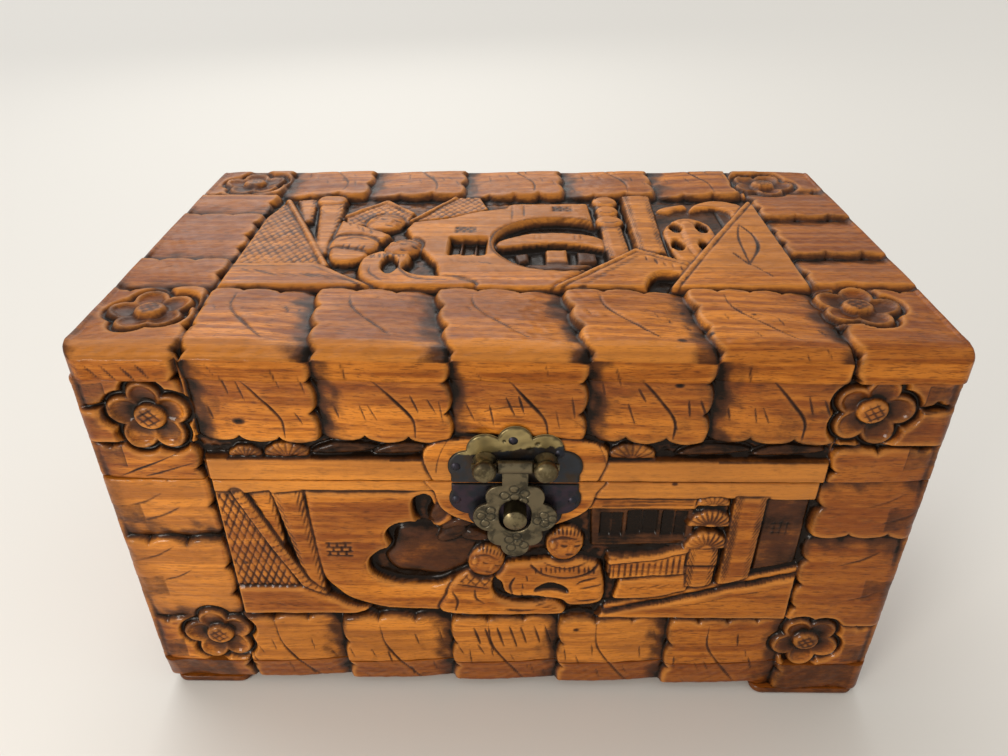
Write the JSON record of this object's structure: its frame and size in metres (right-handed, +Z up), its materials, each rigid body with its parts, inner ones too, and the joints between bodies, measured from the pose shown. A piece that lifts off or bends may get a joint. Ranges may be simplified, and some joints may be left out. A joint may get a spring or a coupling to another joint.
{
  "type": "keepsake box",
  "caption": "Carved wooden keepsake box with a dovetailed body and lid, butt hinges and a brass hasp clasp over domed posts.",
  "frame": {"origin": "centre of the whole object's footprint at the height that its feet stand on", "axes": "+X along the front to the right, +Y from the front to the back, +Z up"},
  "size_m": [0.301, 0.195, 0.1725],
  "materials": {
    "wood": "orange-brown carved wood under glossy lacquer, near-black in the cuts",
    "red_wood": "redder brown carved wood under glossy lacquer",
    "dark_brass": "brass with a blue-black patina, worn yellow at the upper rim",
    "olive_brass": "dull olive-grey brass with small stamped rings",
    "worn_brass": "brown-patinated brass, bare at the rubbed ends"
  },
  "bodies": {
    "box": {"body_front_board": "wood", "body_back_board": "wood", "body_left_board": "wood", "body_right_board": "wood", "bottom_board": "red_wood", "foot_front_left": "red_wood", "foot_front_right": "red_wood", "foot_back_left": "red_wood", "foot_back_right": "red_wood", "clasp_lower_plate": "dark_brass", "clasp_post_lower": "worn_brass", "clasp_body_washer": "worn_brass", "clasp_lower_tacks": "dark_brass", "hinge_left_body_leaf": "worn_brass", "hinge_left_pin": "worn_brass", "hinge_right_body_leaf": "worn_brass", "hinge_right_pin": "worn_brass", "hinge_body_screws": "worn_brass"},
    "lid": {"lid_top_board": "red_wood", "lid_front_board": "wood", "lid_back_board": "wood", "lid_left_board": "wood", "lid_right_board": "wood", "clasp_upper_plate": "dark_brass", "clasp_post_left": "worn_brass", "clasp_post_right": "worn_brass", "clasp_lid_washers": "worn_brass", "clasp_upper_tacks": "dark_brass", "hasp_pin": "worn_brass", "hinge_left_lid_leaf": "worn_brass", "hinge_right_lid_leaf": "worn_brass", "hinge_lid_screws": "worn_brass"},
    "hasp": {"hasp": "olive_brass"}
  },
  "joints": [
    {"name": "lid_hinge", "type": "hinge", "parent": "box", "child": "lid", "pos_m": [0, 0.09435, 0.11815], "axis": [-1, 0, 0], "range_deg": [0, 100]},
    {"name": "hasp_hinge", "type": "hinge", "parent": "lid", "child": "hasp", "pos_m": [0.0008, -0.09225, 0.1284], "axis": [-1, 0, 0], "range_deg": [0, 175]}
  ]
}
